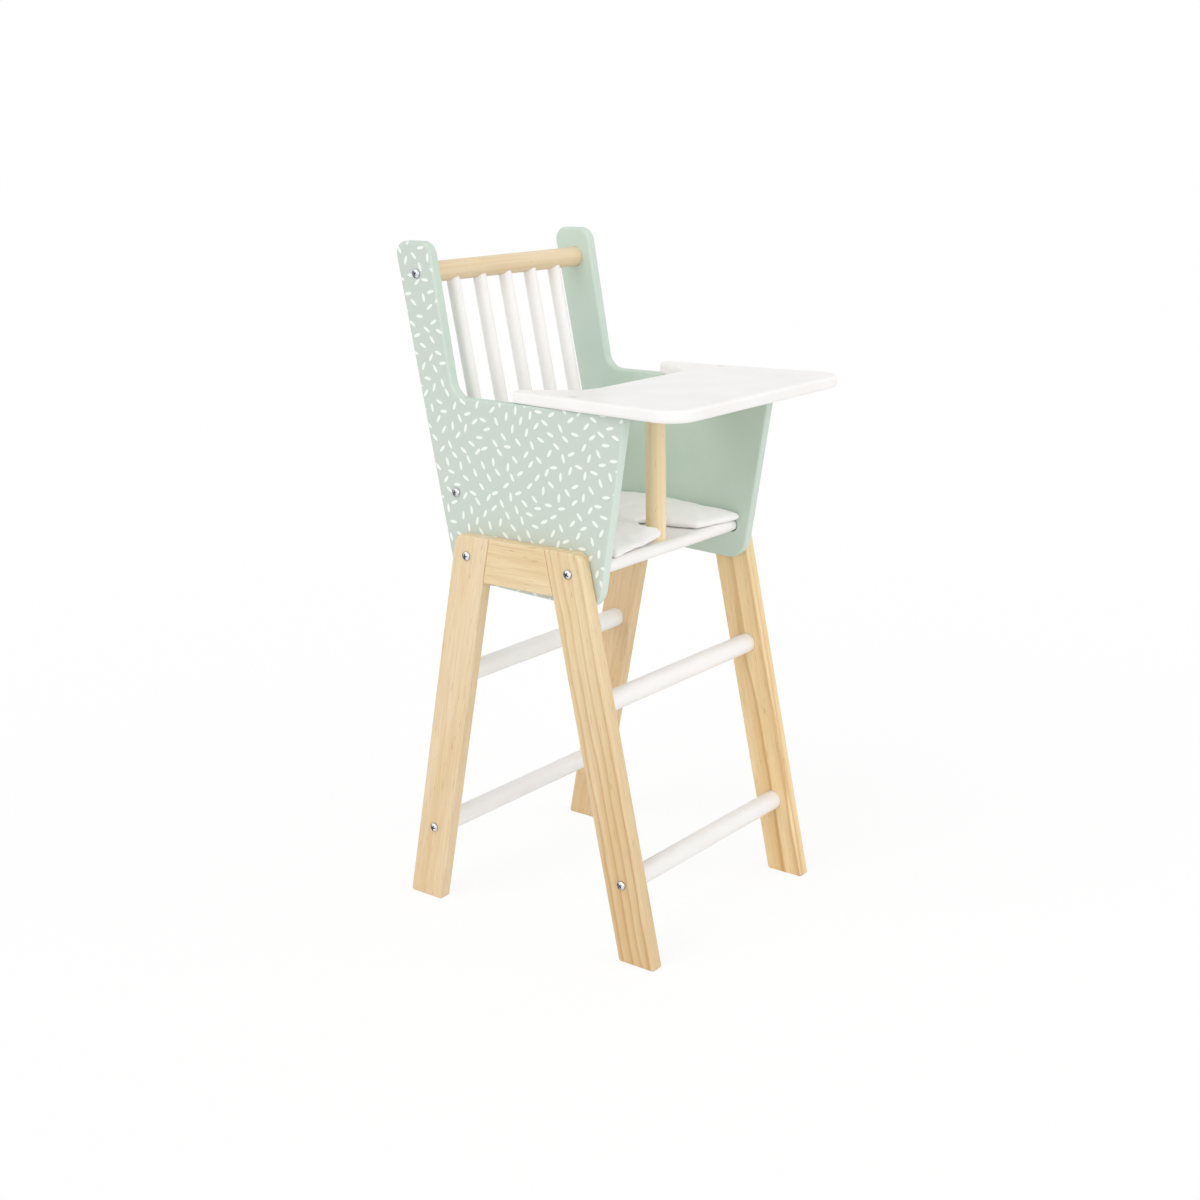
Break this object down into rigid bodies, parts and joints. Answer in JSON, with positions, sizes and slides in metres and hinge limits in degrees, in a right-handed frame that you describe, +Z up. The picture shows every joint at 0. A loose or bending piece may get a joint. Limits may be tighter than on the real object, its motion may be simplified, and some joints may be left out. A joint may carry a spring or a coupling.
{
  "type": "doll high chair",
  "caption": "High chair for dolls with splayed wooden leg frames, painted side panels, a spindled back, a tray on a post and a loose seat cushion.",
  "frame": {"origin": "on the floor, under the middle of the whole chair's box", "axes": "+Z up, -Y towards the tray, +X to the right for a viewer who faces the tray; left pieces lie at -X"},
  "size_m": [0.2552, 0.3104, 0.6],
  "materials": {
    "pine": "clear satin lacquer on pale pine with straight grain",
    "natural_dowel": "clear satin lacquer on pale dowel wood",
    "beech": "bare",
    "mint_paint": "satin mint paint, with scattered white dashes on the outer faces",
    "white_lacquer": "satin white lacquer",
    "screw_steel": "bright zinc",
    "pad_cloth": "plain woven white cotton"
  },
  "bodies": {
    "chair": {"left_front_leg": "pine", "left_rear_leg": "pine", "right_front_leg": "pine", "right_rear_leg": "pine", "left_frame_rail": "pine", "right_frame_rail": "pine", "left_front_dowel_1": "beech", "left_front_dowel_2": "beech", "left_rear_dowel_1": "beech", "left_rear_dowel_2": "beech", "right_front_dowel_1": "beech", "right_front_dowel_2": "beech", "right_rear_dowel_1": "beech", "right_rear_dowel_2": "beech", "lower_front_rung": "white_lacquer", "upper_front_rung": "white_lacquer", "lower_rear_rung": "white_lacquer", "upper_rear_rung": "white_lacquer", "left_side_panel": "mint_paint", "right_side_panel": "mint_paint", "seat_board": "white_lacquer", "back_top_rail": "natural_dowel", "back_bottom_rail": "natural_dowel", "back_spindle_1": "white_lacquer", "back_spindle_2": "white_lacquer", "back_spindle_3": "white_lacquer", "back_spindle_4": "white_lacquer", "back_spindle_5": "white_lacquer", "tray_board": "white_lacquer", "tray_post": "natural_dowel", "left_front_rung_screw": "screw_steel", "left_rear_rung_screw": "screw_steel", "left_front_seat_screw": "screw_steel", "left_rear_seat_screw": "screw_steel", "left_top_rail_screw": "screw_steel", "left_bottom_rail_screw": "screw_steel", "left_tray_screw": "screw_steel", "right_front_rung_screw": "screw_steel", "right_rear_rung_screw": "screw_steel", "right_front_seat_screw": "screw_steel", "right_rear_seat_screw": "screw_steel", "right_top_rail_screw": "screw_steel", "right_bottom_rail_screw": "screw_steel", "right_tray_screw": "screw_steel"},
    "cushion": {"seat_pad": "pad_cloth"}
  },
  "joints": [
    {"name": "seat_pad_slide", "type": "slide", "parent": "chair", "child": "cushion", "axis": [0, 1, 0], "range_m": [0, 0.22]}
  ]
}
